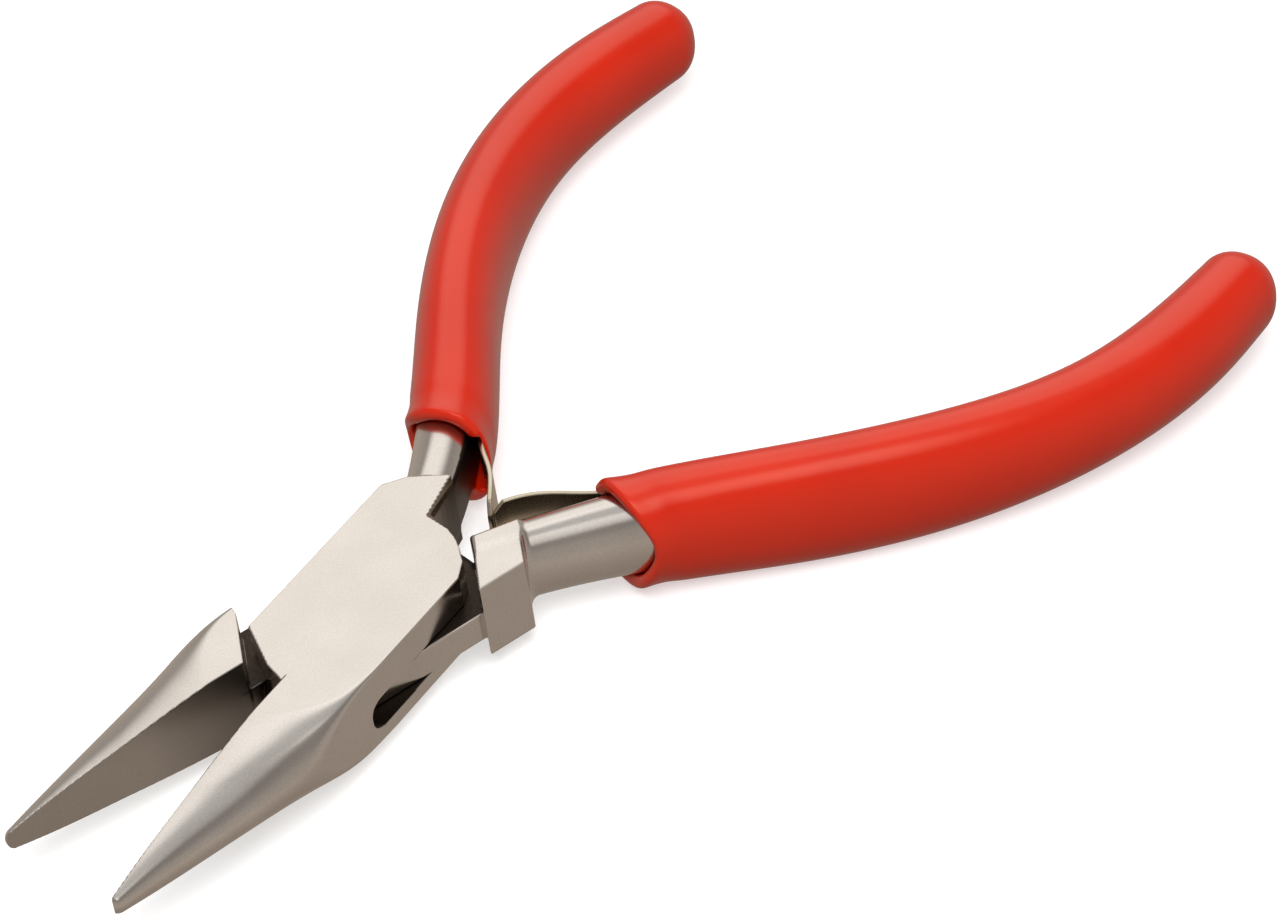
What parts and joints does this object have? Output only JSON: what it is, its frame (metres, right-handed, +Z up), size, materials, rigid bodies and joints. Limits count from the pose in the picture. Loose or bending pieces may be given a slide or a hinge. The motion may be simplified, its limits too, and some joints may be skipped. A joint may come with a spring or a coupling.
{
  "type": "chain nose pliers",
  "caption": "Chain nose jeweller's pliers with a box joint, half-round tapered jaws, dipped grips on bowed handles, and two leaf springs that reopen them.",
  "frame": {"origin": "on the pivot's axis, on the underside of the joint", "axes": "+X back along the centre line to the handles, +Y to the outer half's handle, +Z up the pivot"},
  "size_m": [0.1228, 0.0834, 0.0125],
  "materials": {
    "steel": "satin ground",
    "grip": "dipped vinyl, semi-gloss",
    "spring": "rolled spring strip",
    "rivet": "plain"
  },
  "bodies": {
    "outer": {"outer_half": "steel", "pivot_pin": "steel", "outer_grip": "grip", "outer_leaf_spring": "spring", "outer_spring_rivet": "rivet"},
    "inner": {"inner_half": "steel", "inner_grip": "grip", "inner_leaf_spring": "spring", "inner_spring_rivet": "rivet"}
  },
  "joints": [
    {"name": "pivot", "type": "hinge", "parent": "outer", "child": "inner", "pos_m": [0, 0, 0.00405], "axis": [0, 0, 1], "range_deg": [-10, 19.35], "stiffness_Nm_per_rad": 0.6, "deforming": ["outer_leaf_spring", "inner_leaf_spring"]}
  ]
}
